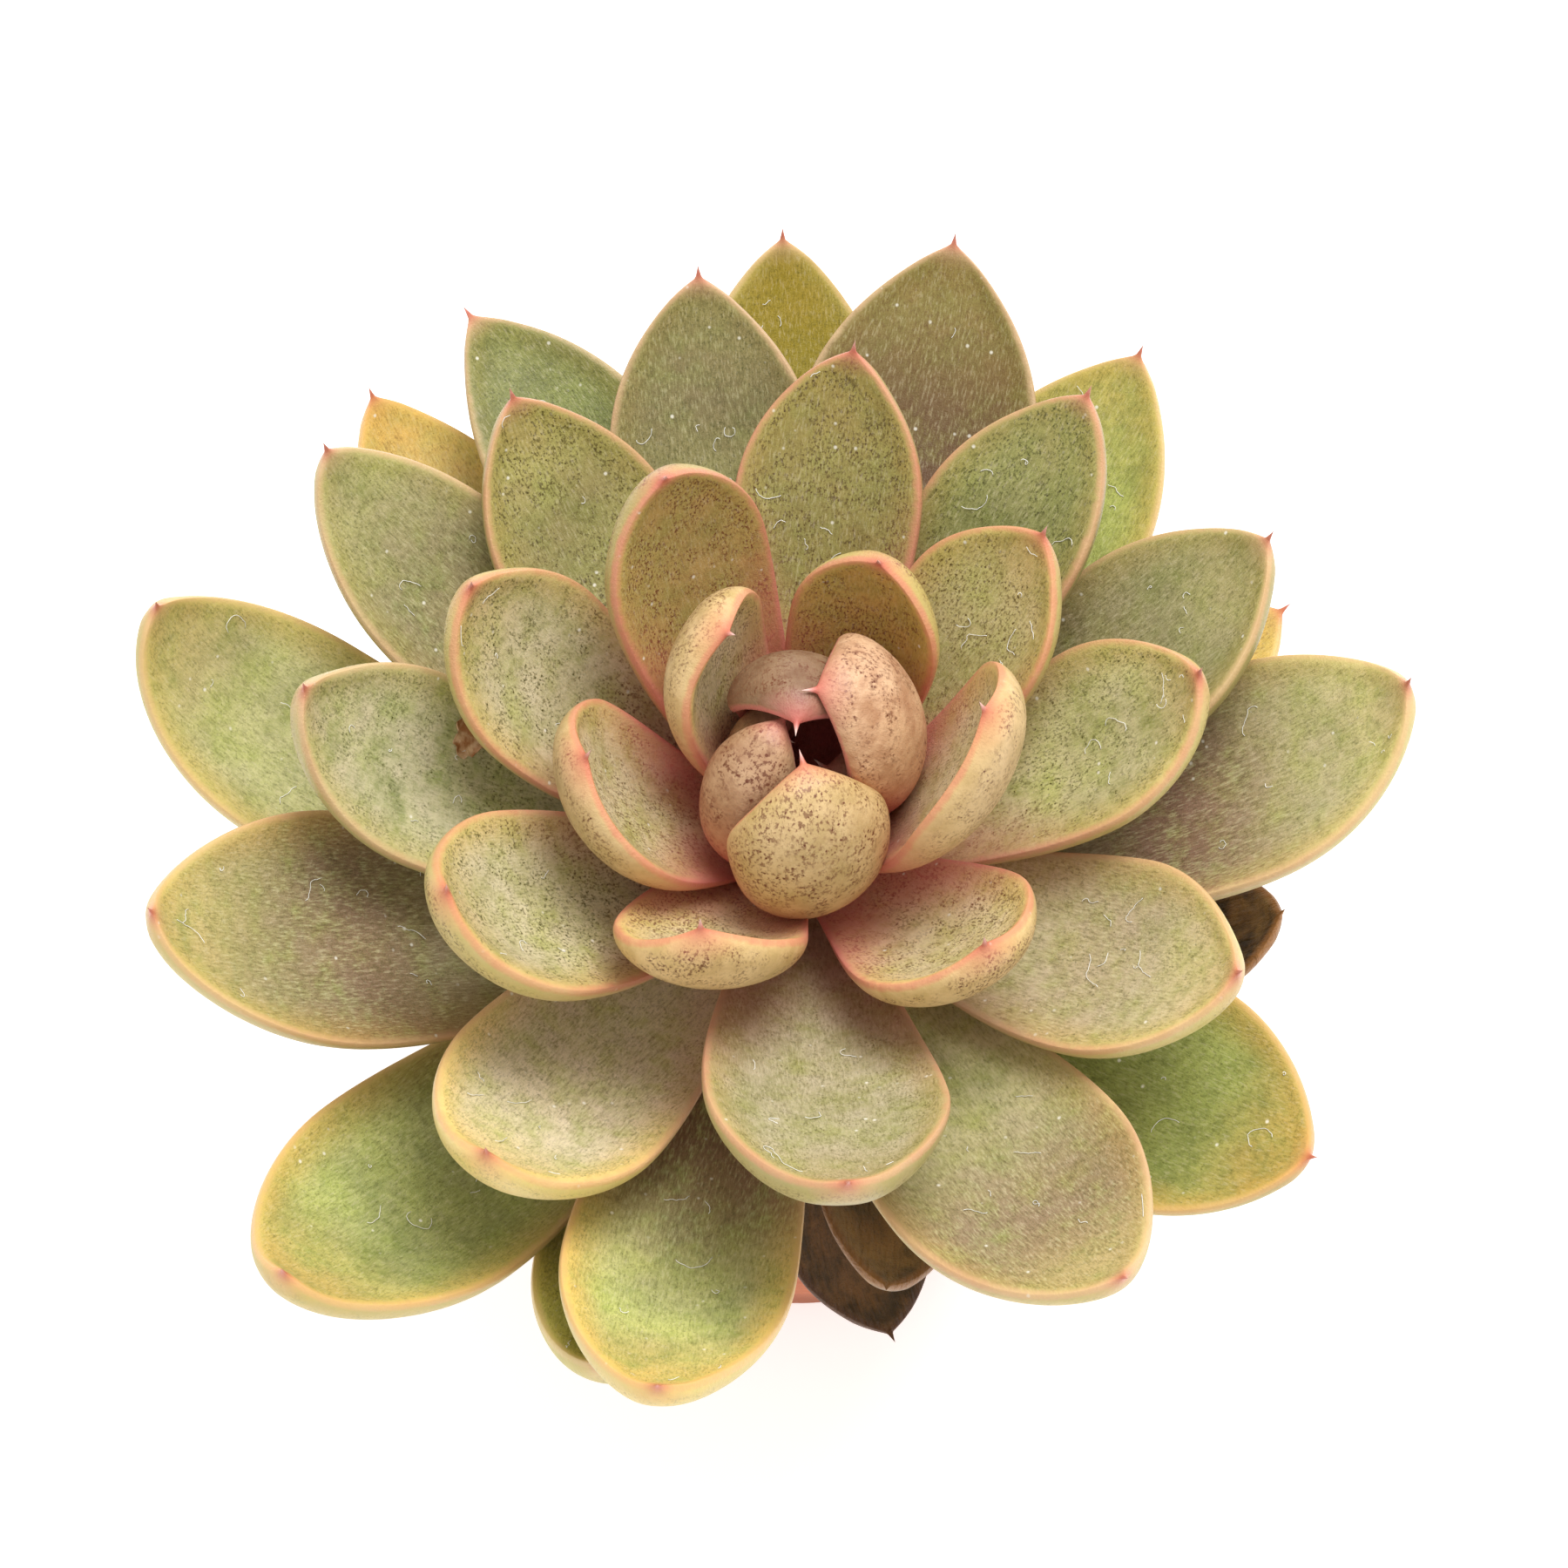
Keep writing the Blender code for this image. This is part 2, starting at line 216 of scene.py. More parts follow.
# The same sizes as in the CAD part, youngest first, in degrees and mm:
# name: (turn, rise, curl, length, width, roll, sway)
leafShapes = {
    "bud_leaf_1": (150, 46, 95, 14, 8, 2, -2),
    "bud_leaf_2": (330, 45, 97, 13, 9, 3, -1),
    "bud_leaf_3": (94, 43, 121, 24.5, 11.5, -4, -8),
    "bud_leaf_4": (20, 37, 120, 26, 14, -9, -13),
    "bud_leaf_5": (221, 38, 121, 23.5, 7.5, -1, 17),
    "bud_leaf_6": (277, 26, 130, 25.5, 14, 9, 9),
    "leaf_01": (141, 59, 66, 28, 13, 16, -4),
    "leaf_02": (194, 38, 62, 28.5, 16, 5, -2),
    "leaf_03": (348, 55, 45, 32.5, 16, -4, -8),
    "leaf_04": (239, 34, 63, 30, 14.5, 4, 36),
    "leaf_05": (310, 28, 58, 30, 15, 2, -12),
    "leaf_06": (67, 54, 39, 28, 12.5, 4, -13),
    "leaf_07": (125, 48, 47, 37, 15, 13, -9),
    "leaf_08": (210, 27, 54, 40, 16.5, -6, 1),
    "leaf_09": (42, 39, 17, 32, 15, -7, 0),
    "leaf_10": (160, 33, 50, 38, 15.5, -6, -5),
    "leaf_11": (8, 27, 40, 37, 15.5, 0, 4),
    "leaf_12": (271, 27, 34, 44.5, 18.5, -8, 12),
    "leaf_13": (87, 25, 30, 39.5, 15.5, -7, -12),
    "leaf_14": (228, 9, 68, 45.5, 18, -7, 23),
    "leaf_15": (331, 19, 38, 40.5, 17, 8, 0),
    "leaf_16": (179, 24, 52, 46.5, 15.5, -12, -7),
    "leaf_17": (55, 28, 21, 42.5, 15, -6, -5),
    "leaf_18": (128, 20, 36, 43, 16, 2, -6),
    "leaf_19": (25, 20, 32, 44.5, 18, -12, 8),
    "leaf_20": (294, 17, 33, 50.5, 20, -4, 15),
    "leaf_21": (104, 17, 31, 47.5, 17.5, -6, -10),
    "leaf_22": (252, 9, 57, 55, 18, -5, 20),
    "leaf_23": (2, 15, 52, 52, 19, -4, 16),
    "leaf_24": (196, 18, 48, 57, 19.5, -9, 5),
    "leaf_25": (75, 13, 34, 52, 20.5, 2, 2),
    "leaf_26": (145, 20, 43, 51, 15.5, -7, 1),
    "leaf_27": (222, 4, 70, 60.5, 20, -2, 17),
    "leaf_28": (113.5, 12, 17, 52.5, 16, -2, 23),
    "leaf_29": (172, 6, 78, 59.5, 18.5, -2, -24),
    "leaf_30": (56, 9, 34, 50, 18, 0, 1),
    "leaf_31": (324, 10, 32, 46.5, 20, 7, 0),
    "leaf_32": (92, 4, 45, 54, 18.5, 9, -1),
    "leaf_33": (136, 0, 49, 53.5, 16.5, 9, -14),
    "leaf_34": (249, 6, 55, 47.5, 17.5, 7, 8),
    "leaf_35": (36, -10, 34, 45.5, 17.5, -8, -7),
    "dried_leaf_1": (350, 3, 60, 37.5, 14, -4, 6),
    "dried_leaf_2": (288, 9, 34, 34, 11.5, -8, -27),
    "dried_leaf_3": (277, -28, 39, 31, 13.5, -14, 16),
}

# What each leaf's skin shows, mostly 0 to 1. warm: khaki instead of green, bloom: pale waxy grey
# (rich olive below 0), specks: dark dots, purple: purple streaks, centred at the part of the
# length called at, gold: ochre towards the tip, blush: pink margin and base, toneAndPaintedLight:
# how light the whole leaf is, partly its own colour and partly painted light and shade that
# lightens or darkens whole leaves as the lamps lit them.
# name: (warm, bloom, specks, purple, at, gold, blush, toneAndPaintedLight)
leafLooks = {
    "bud_leaf_1": (0.6, 0.0, 0.3, 0.9, 0.5, 0.0, 1.2, 1),
    "bud_leaf_2": (0.6, 0.0, 0.3, 0.9, 0.5, 0.0, 1.2, 1),
    "bud_leaf_3": (0.9, 0.3, 0.9, 0.3, 0.5, 0, 1.2, 0.5),
    "bud_leaf_4": (0.8, 1.0, 0.8, 0.0, 0.5, 0.1, 1.15, 1.1),
    "bud_leaf_5": (0.9, 0.4, 1.0, 0.1, 0.5, 0.0, 1.2, 0.85),
    "bud_leaf_6": (0.7, 0.6, 0.9, 0.0, 0.5, 0.4, 1.0, 1.05),
    "leaf_01": (0.6, 1.0, 0.8, 0.0, 0.5, 0.5, 1.0, 1.15),
    "leaf_02": (0.6, 1.0, 0.8, 0.0, 0.5, 0.5, 1.0, 1),
    "leaf_03": (0.6, 1.0, 0.7, 0.0, 0.5, 0.6, 1.0, 1.1),
    "leaf_04": (0.7, 0.9, 1.0, 0.0, 0.3, 0.5, 1.0, 1.2),
    "leaf_05": (0.6, 1.0, 0.9, 0.0, 0.3, 0.5, 1.0, 1.2),
    "leaf_06": (1.0, -0.2, 0.9, 0.1, 0.3, 0.4, 0.9, 0.95),
    "leaf_07": (0.9, 0.1, 1.0, 0.0, 0.3, 0.3, 0.9, 0.8),
    "leaf_08": (0.3, 1.1, 0.8, 0.1, 0.3, 0.6, 0.7, 0.95),
    "leaf_09": (0.5, 0.5, 0.8, 0.0, 0.3, 0.5, 0.8, 0.9),
    "leaf_10": (0.3, 1.1, 0.8, 0.0, 0.3, 0.5, 0.7, 0.95),
    "leaf_11": (0.2, 0.7, 0.7, 0.0, 0.3, 0.4, 0.6, 1),
    "leaf_12": (0.3, 1.1, 0.5, 0.3, 0.3, 0.4, 0.5, 0.75),
    "leaf_13": (0.5, 0.0, 1.0, 0.2, 0.6, 0.3, 0.7, 0.7),
    "leaf_14": (0.2, 1.2, 0.4, 0.5, 0.5, 0.7, 0.4, 1.25),
    "leaf_15": (0.2, 1, 0.4, 0.5, 0.6, 0.4, 0.4, 1.1),
    "leaf_16": (0.0, 1.1, 0.6, 0.0, 0.5, 0.2, 0.3, 0.9),
    "leaf_17": (0.2, 0.2, 0.8, 0.2, 0.45, 0.3, 0.5, 0.65),
    "leaf_18": (0.4, 0.2, 0.9, 0.2, 0.6, 0.3, 0.5, 0.75),
    "leaf_19": (0.2, 0.6, 0.4, 0.6, 0.5, 0.3, 0.3, 0.75),
    "leaf_20": (0.1, 0.7, 0.3, 0.8, 0.74, 0.3, 0.3, 1.1),
    "leaf_21": (0.2, 0.2, 0.5, 0.6, 0.78, 0.1, 0.3, 0.75),
    "leaf_22": (0.0, 0.4, 0.3, 1.0, 0.38, 0.9, 0.3, 1.15),
    "leaf_23": (0.1, 0.8, 0.3, 1, 0.5, 0.3, 0.3, 1.1),
    "leaf_24": (0.1, 0.6, 0.3, 0.9, 0.6, 0.5, 0.3, 1),
    "leaf_25": (0.7, -0.3, 0.4, 0.9, 0.6, 0.1, 0.3, 0.6),
    "leaf_26": (0.1, 0.6, 0.4, 0.6, 0.62, 0.1, 0.3, 0.95),
    "leaf_27": (0.0, 0.3, 0.3, 0.4, 0.35, 0.8, 0.3, 0.95),
    "leaf_28": (0.0, -0.2, 0.5, 0.0, 0.5, 0.2, 0.2, 0.5),
    "leaf_29": (0.1, 0.6, 0.3, 0.1, 0.4, 0.5, 0.2, 0.95),
    "leaf_30": (0.1, 0.0, 0.3, 0.1, 0.5, 0.5, 0.2, 1),
    "leaf_31": (0.0, 0.1, 0.3, 0.1, 0.5, 1.0, 0.2, 0.75),
    "leaf_32": (0.2, -1.2, 0.3, 0.0, 0.5, 0.3, 0.1, 0.75),
    "leaf_33": (0.9, 0.1, 0.2, 0.3, 0.3, 1.0, 0.2, 1),
    "leaf_34": (0.2, -0.2, 0.4, 1.0, 0.4, 0.2, 0.1, 1.1),
    "leaf_35": (0.9, -0.2, 0.3, 0.6, 0.5, 0.8, 0.2, 1),
    "dried_leaf_1": (0.0, 0.0, 0.0, 0.0, 0.5, 0.8, 0.0, 1),
    "dried_leaf_2": (0.0, 0.0, 0.0, 0.0, 0.5, 0.5, 0.3, 1),
    "dried_leaf_3": (0.0, 0.0, 0.0, 0.0, 0.5, 0.1, 0.1, 1),
}


def leafKind(name):
    return name.split("_")[0]


# The leaf's middle line, worked out in many short steps. Its slope climbs from rise to rise + curl
# with a power of the way along, its heading sways from turn, and the hook turns up a little more.
def leafLine(name):
    turn, rise, curl, length, width, roll, sway = leafShapes[name]
    age = list(leafShapes).index(name) / (len(leafShapes) - 1)
    base = leafForm["youngestBase"] + (leafForm["oldestBase"] - leafForm["youngestBase"]) * age
    height = leafLevel + leafForm["stemTop"] - leafForm["stemFall"] * age
    along = np.linspace(0.0, 1.0, 201)
    hook = smooth(1.0 - (1.0 - along) * length / (2.5 * leafForm["hookLength"]))
    slope = rise + curl * along ** leafForm["bend"][leafKind(name)] + leafForm["hookLift"] * hook
    pitch = np.radians(slope)
    heading = np.radians(turn + sway * along**1.5)
    level = 0 * along
    forward = np.stack([np.cos(heading) * np.cos(pitch), np.sin(heading) * np.cos(pitch), np.sin(pitch)])
    side = np.stack([-np.sin(heading), np.cos(heading), level])
    face = np.cross(forward, side, axis=0)
    steps = (forward[:, 1:] + forward[:, :-1]) / 2 * length / 200
    start = np.array([[base * np.cos(heading[0])], [base * np.sin(heading[0])], [height]])
    points = start + np.concatenate([0 * start, np.cumsum(steps, axis=1)], axis=1)
    lean = math.radians(roll)
    acrossLine = side * math.cos(lean) + face * math.sin(lean)
    outward = face * math.cos(lean) - side * math.sin(lean)
    return along, points, acrossLine, outward


# Half the width of the blade: eases out to the widest place, then in to a pointed end, from which
# a thin hook goes on. The two are joined by a power mean, which flares one into the other.
def leafHalfWidth(name, along):
    length, width = leafShapes[name][3:5]
    widest = leafForm["widestAt"]
    spread = np.clip(along / widest, 0.0, 1.0)
    spread = 0.65 * smooth(spread) + 0.35 * spread * (2.0 - spread)
    base = leafForm["baseWidth"] + (1.0 - leafForm["baseWidth"]) * spread
    bladeEnd = 1.0 - leafForm["bladeShort"] * leafForm["hookLength"] / length
    past = np.clip((along - widest) / (bladeEnd - widest), 0.0, 1.0)
    steep, ease = leafForm["outline"]
    tip = (1.0 - past**steep) ** ease
    blade = leafForm["fuller"] * width / 2 * np.where(along < widest, base, tip)
    left = (1.0 - along) * length
    hook = leafForm["hookRadius"] * np.clip(left / leafForm["hookLength"], 0.0, 1.0) ** 1.15
    return (blade**2 + hook**2) ** 0.5, hook, left


# Points of a leaf's skin. along goes from the base to the tip, and turn goes round the section,
# from one margin over the upper face to the other margin and back underneath.
def leafSkin(name, along, turn, seed):
    length, width = leafShapes[name][3:5]
    kind = leafKind(name)
    full = leafForm["thickness"][kind]
    if kind == "leaf":
        full *= min(1.0, length / leafForm["fullLength"]) ** 0.5
    half, hook, left = leafHalfWidth(name, along)
    thickest = leafForm["thickestAt"]
    base = leafForm["baseThickness"] + (1.0 - leafForm["baseThickness"]) * smooth(along / thickest)
    rest = 1.0 - thickest - leafForm["bladeShort"] * leafForm["hookLength"] / length
    past = np.clip((along - thickest) / rest, 0.0, 1.0)
    steep, ease = leafForm["thinning"]
    blade = full * np.where(along < thickest, base, (1.0 - past**steep) ** ease)
    thick = (blade**2.6 + (1.4 * hook) ** 2.6) ** (1 / 2.6)
    share = leafForm["topShare"] + (0.45 - leafForm["topShare"]) * (1.0 - smooth(left / 3.0))
    across = np.cos(turn)
    above = np.sin(turn) >= -1e-9
    inFrom = half * (1.0 - np.abs(across))
    ridge = leafForm["ridge"] * np.exp(-((inFrom - leafForm["ridgeIn"]) / leafForm["ridgeWidth"]) ** 2)
    ridge = ridge * smooth(half / (0.3 * width)) * smooth(along / 0.3)
    upper = share * thick * np.sqrt(np.clip(1.0 - across**2, 0.0, 1.0)) + ridge
    steep, ease = leafForm["belly"]
    lower = -(1.0 - share) * thick * np.clip(1.0 - np.abs(across) ** steep, 0.0, 1.0) ** ease
    lift = np.where(above, upper, lower)
    # slow unevenness of the skin, and a gentle sway of the margins
    wobble = np.sin(along * length / 2.9 + 3.1 * across + seed)
    wobble = wobble * np.cos(2.3 * across - along * length / 4.7 + 2 * seed)
    fade = smooth(left / 6.0) * smooth(along / 0.15)
    lift = lift + leafForm["dent"] * wobble * fade * (1.0 - np.abs(across) ** 6)
    ripple = np.sin(along * length / 5.5 + 1.7 * seed + np.sign(across))
    sway = leafForm["wave"] * across**3 * ripple * fade
    bow = width / (4.0 * leafForm["cup"][kind])
    place = across * half / bow
    sideways = (bow - lift) * np.sin(place)
    upward = bow * (1.0 - np.cos(place)) + lift * np.cos(place) + sway
    line, points, acrossLine, outward = leafLine(name)
    spot = [np.interp(along, line, points[i]) for i in range(3)]
    over = [np.interp(along, line, acrossLine[i]) for i in range(3)]
    out = [np.interp(along, line, outward[i]) for i in range(3)]
    where = np.stack([spot[i] + sideways * over[i] + upward * out[i] for i in range(3)], axis=-1)
    rim = np.where(above, inFrom, -inFrom)
    return where, np.stack([across * half, along * length, lift], axis=-1), rim, left


def addLeaf(number, name, material):
    warm, bloom, specks, purple, at, gold, blush, toneAndPaintedLight = leafLooks[name]
    seed = 2.4 * number
    # steps crowd towards the tip, where the hook needs them
    reach = np.linspace(0.0, 1.0, leafForm["steps"] + 1)[:-1]
    along = 1.0 - (1.0 - reach) ** leafForm["tipCrowding"]
    turn = np.linspace(0.0, 2 * np.pi, leafForm["around"], endpoint=False)
    along, turn = np.meshgrid(along, turn, indexing="ij")
    rings, skin, rim, left = leafSkin(name, along, turn, seed)
    tip = leafSkin(name, np.array([1.0]), np.array([0.0]), seed)[0]
    skin = skin + [0.0, 0.0, 9.0 * number]
    purpleHere = purple * np.exp(-(((along - at) / leafForm["purpleReach"]) ** 2))
    nearTip = 1.0 - smooth((left - 1.0) / (0.27 * leafShapes[name][3]))
    nearRim = 0.75 * (1.0 - smooth(np.abs(rim) / 4.5)) * smooth((along - 0.4) / 0.35)
    goldHere = gold * np.maximum(nearTip, nearRim)
    one = np.ones_like(along)
    values = {
        "skin": skin[None],
        "place": np.stack([rim, left, along], axis=-1)[None],
        "tones": np.stack([warm * one, bloom * one, specks * one], axis=-1)[None],
        "stains": np.stack([purpleHere, goldHere, blush * one], axis=-1)[None],
        # the leaf's brightness factor, partly its own lightness and partly painted light and shade on
        # the whole leaf
        "tone_and_painted_light": np.stack([toneAndPaintedLight * one] * 3, axis=-1)[None],
    }
    foot = rings[0].mean(axis=0)
    piece = tubePiece(name + "_skin", rings[None], foot, tip, material, values)
    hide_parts(name)
    return piece


leafPaints = {
    "deepGreen": paint(116, 132, 60),
    "freshGreen": paint(190, 202, 106),
    "khaki": paint(206, 168, 98),
    "waxGrey": paint(228, 214, 184),
    "purple": paint(116, 68, 66),
    "ochre": paint(236, 190, 98),
    "amber": paint(238, 168, 84),
    "peach": paint(236, 202, 160),
    "pink": paint(214, 124, 118),
    "flush": paint(202, 104, 100),
    "greenDot": paint(72, 74, 20),
    "brownDot": paint(110, 58, 34),
    "tipRed": paint(198, 92, 78),
    "tipPale": paint(246, 214, 204),
    "under": paint(202, 184, 124),
    "budSkin": paint(168, 102, 86),
    "budWax": paint(222, 174, 142),
    "richOlive": paint(168, 146, 8),
    "yellow": paint(206, 194, 104),
    "chalk": paint(244, 240, 226),
}


# Soft green mottled with khaki and grey wax, broken dots and fine lengthwise lines, purple stains,
# an ochre end, a peach to pink margin and base, and a red tip.
def leafMaterial(name, paints):
    material, start = emptyMaterial(name)
    skin = attribute(start, "skin")
    rim, left, along = attribute(start, "place").parts()
    warm, bloom, specks = attribute(start, "tones").parts()
    purple, gold, blush = attribute(start, "stains").parts()
    slow = skin.noise(0.15, 2)
    patch = skin.noise(0.36, 3, 0.6)
    mottle = skin.noise(1.1, 3, 0.6)
    lines = skin.stretch(5.2, 1.2, 3.0).noise(1.0, 2, 0.7)
    speckle = skin.stretch(4.6, 3.0, 4.6).noise(1.0, 3, 0.65)
    grain = skin.noise(8.0, 2, 0.6)
    edge = rim.maths("ABSOLUTE", rim, 0.0)
    upper = rim.ease(-0.3, 0.3)
    fromRim = edge * (3.2 - upper * 2.2)      # the pale margin is narrower underneath
    inside = edge.ease(0.2, 0.9)

    fresh = (slow + mottle * 0.6 - 0.3).ease(0.1, 0.9)
    colour = fresh.mix(paints["deepGreen"], paints["freshGreen"])
    colour = (warm * (patch.ease(0.3, 0.7) * 0.4 + 0.6)).mix(colour, paints["khaki"])
    waxed = (patch * 0.8 + mottle * 0.4 - 0.1).ease(0.1, 0.8) * bloom
    colour = (waxed * 0.75).mix(colour, paints["waxGrey"])
    colour = ((0 - bloom).ease(0.0, 1.0) * 0.9).mix(colour, paints["richOlive"])
    halo = (1 - (edge + mottle * 1.5).ease(1.0, 4.2)) * along.ease(0.2, 0.6)
    colour = (halo * (gold * 0.4 + 0.3)).mix(colour, paints["yellow"])
    stain = purple * (slow * 0.5 + patch * 0.5 + mottle * 0.3 + lines * 0.6 - 0.4).ease(0.12, 0.66)
    colour = (stain * 0.85).mix(colour, paints["purple"])
    ripe = gold * (mottle * 0.4 + patch * 0.6).ease(0.1, 0.7)
    colour = ripe.mix(colour, paints["ochre"])

    under = (patch.ease(0.3, 0.7) * 0.35 + 0.3).mix(colour, paints["under"])
    budTone = (patch * 0.8 + mottle * 0.5 - 0.2).ease(0.25, 0.7).mix(paints["budSkin"], paints["budWax"])
    under = (blush.ease(0.9, 1.1) * 0.7).mix(under, budTone)
    colour = upper.mix(under, colour)
    # multiplies by the leaf's brightness factor: partly its own lightness, partly painted light and
    # shade that lightens or darkens the whole leaf
    colour = colour.node("Mix", {"data_type": "RGBA", "blend_type": "MULTIPLY"},
                         {0: 1.0, 6: colour, 7: attribute(start, "tone_and_painted_light")}, 2)

    # dots gather in clouds and stop at the margin
    cloud = (slow * 0.5 + skin.noise(0.7, 2) * 0.8 - 0.15).ease(0.3, 0.6)
    spots = (1 - skin.cells(3.0).ease(0.14, 0.34)) * speckle.ease(0.4, 0.5)
    dots = (spots * 0.8 + speckle.ease(0.48, 0.62) * 0.85) * cloud * specks * inside
    dotPaint = (warm + upper * -0.3 + 0.2).ease(0.0, 1.0).mix(paints["greenDot"], paints["brownDot"])
    colour = dots.mix(colour, dotPaint)
    dark = (lines * 0.8 + grain * 0.35).ease(0.56, 0.8) * inside * upper
    colour = (dark * (0.5 - specks * 0.2)).mix(colour, dotPaint)
    pale = (1 - lines).ease(0.5, 0.72) * upper * inside * 0.22
    colour = pale.mix(colour, paints["waxGrey"])

    flush = blush * (1 - (along + edge * 0.05 - blush * 0.12).ease(0.2, 0.75)) * (patch * 0.5 + 0.5)
    colour = flush.mix(colour, paints["flush"])
    margin = 1 - (fromRim * 1.5 + patch * 0.9 + mottle * 0.9).ease(0.8, 1.9)
    rosy = (blush * 1.1 + (slow - 0.5) * 0.9 + 0.02).ease(0.0, 1.0)
    marginPaint = rosy.mix(paints["peach"], paints["pink"])
    marginPaint = (gold * 0.7).mix(marginPaint, paints["amber"])
    colour = (margin * (blush * 0.3 + 0.45)).mix(colour, marginPaint)
    colour = ((1 - left.ease(0.8, 3.6)) * 0.7).mix(colour, marginPaint)
    colour = ((1 - left.ease(0.6, 2.2)) * 0.85).mix(colour, paints["tipRed"])
    colour = ((1 - left.ease(0.1, 1.2)) * 0.75 * blush).mix(colour, paints["tipPale"])
    chalk = (1 - skin.cells(0.6).ease(0.04, 0.13)) * skin.noise(0.5, 1).ease(0.48, 0.6) * upper
    colour = (chalk * 0.75).mix(colour, paints["chalk"])

    roughness = grain * 0.2 + 0.36 - margin * 0.06
    relief = grain * 0.4 + lines * 0.7 + speckle * 0.4 + mottle * 0.6
    return finishMaterial(material, colour, roughness, relief, 0.07,
                          {"Specular IOR Level": 0.45, "Coat Weight": 0.05, "Coat Roughness": 0.35})


driedPaints = {
    "dark": paint(62, 48, 34),
    "brown": paint(128, 88, 54),
    "tan": paint(190, 156, 104),
    "edge": paint(70, 38, 28),
    "lip": paint(196, 138, 84),
}


# Dark wrinkled skin, tan where gold says so, with a brown burnt edge.
def driedMaterial(name, paints):
    material, start = emptyMaterial(name)
    skin = attribute(start, "skin")
    rim = attribute(start, "place").parts()[0]
    gold, blush = attribute(start, "stains").parts()[1:]
    patch = skin.noise(0.35, 3, 0.6)
    fold = skin.stretch(2.2, 0.45, 1.0).noise(1.0, 4, 0.6)
    grain = skin.noise(6.0, 2)
    colour = (patch + fold * 0.5 - 0.2).ease(0.3, 0.75).mix(paints["dark"], paints["brown"])
    colour = (gold * patch.ease(0.25, 0.7) + blush * 0.6).mix(colour, paints["tan"])
    colour = (grain.ease(0.5, 0.75) * 0.4).mix(colour, paints["dark"])
    edge = 1 - (rim.maths("ABSOLUTE", rim, 0.0) + patch * 0.8).ease(0.5, 1.5)
    colour = (edge * 0.8).mix(colour, (gold * 1.2).mix(paints["edge"], paints["lip"]))
    roughness = patch * 0.25 + 0.35
    return finishMaterial(material, colour, roughness, fold * 2.5 + grain * 0.4, 0.25,
                          {"Specular IOR Level": 0.4})


leafFinish = leafMaterial("leaf_skin", leafPaints)
driedFinish = driedMaterial("dried_skin", driedPaints)
for number, name in enumerate(leafShapes):
    addLeaf(number, name, driedFinish if leafKind(name) == "dried" else leafFinish)
print("leaves made:", len(leafShapes))


lintForm = {"count": 190, "radius": 0.03, "points": 14, "around": 4, "lift": 0.05}


# Curly fibres laid on the upper faces. Each path is an arc in the leaf's own flat coordinates,
# and a ring of points is carried along it.
def addLint(material):
    chance = np.random.default_rng(11)
    names = [name for name in leafShapes if leafKind(name) == "leaf" and name > "leaf_07"]
    paths, normals = [], []
    for _ in range(lintForm["count"]):
        name = names[chance.integers(len(names))]
        number = list(leafShapes).index(name)
        length, width = leafShapes[name][3:5]
        way = np.linspace(0.0, 1.0, lintForm["points"])
        reach = 0.7 + 3.8 * chance.random() ** 2
        bend = chance.normal(0, 2.4)
        wander = np.cumsum(chance.normal(0, 0.35, lintForm["points"]))
        heading = chance.uniform(0, 2 * np.pi) + bend * way + wander
        stepX = np.cumsum(np.cos(heading)) * reach / lintForm["points"]
        stepY = np.cumsum(np.sin(heading)) * reach / lintForm["points"]
        along = np.clip(chance.uniform(0.45, 0.93) + stepY / length, 0.3, 0.95)
        half = leafHalfWidth(name, along)[0]
        across = np.clip((chance.uniform(-0.6, 0.6) * width / 2 + stepX) / half, -0.9, 0.9)
        path = leafSkin(name, along, np.arccos(across), 2.4 * number)[0]
        line, _, _, outward = leafLine(name)
        out = np.stack([np.interp(along, line, outward[i]) for i in range(3)], axis=-1)
        paths.append(path + out * (lintForm["lift"] + 0.25 * chance.random() * (way**2)[:, None]))
        normals.append(out)
    paths, normals = np.array(paths), np.array(normals)
    tangents = np.gradient(paths, axis=1)
    sides = np.cross(tangents, normals)
    sides /= np.linalg.norm(sides, axis=-1, keepdims=True) + 1e-9
    angle = np.linspace(0, 2 * np.pi, lintForm["around"], endpoint=False)[:, None]
    ring = np.cos(angle) * sides[:, :, None] + np.sin(angle) * normals[:, :, None]
    rings = paths[:, :, None] + lintForm["radius"] * ring
    return tubePiece("lint_fibres", rings, paths[:, 0], paths[:, -1], material)


def lintMaterial(name):
    material, start = emptyMaterial(name)
    grain = objectPlace(start).noise(900.0, 2)
    colour = grain.ease(0.3, 0.7).mix(paint(226, 224, 214), paint(248, 247, 242))
    return finishMaterial(material, colour, grain * 0.2 + 0.6, grain, 0.01, {"Specular IOR Level": 0.3})


addLint(lintMaterial("lint"))

scarForm = {"leaf": "leaf_16", "along": 0.58, "across": -0.5, "radius": 1.6, "steps": 26, "around": 48}


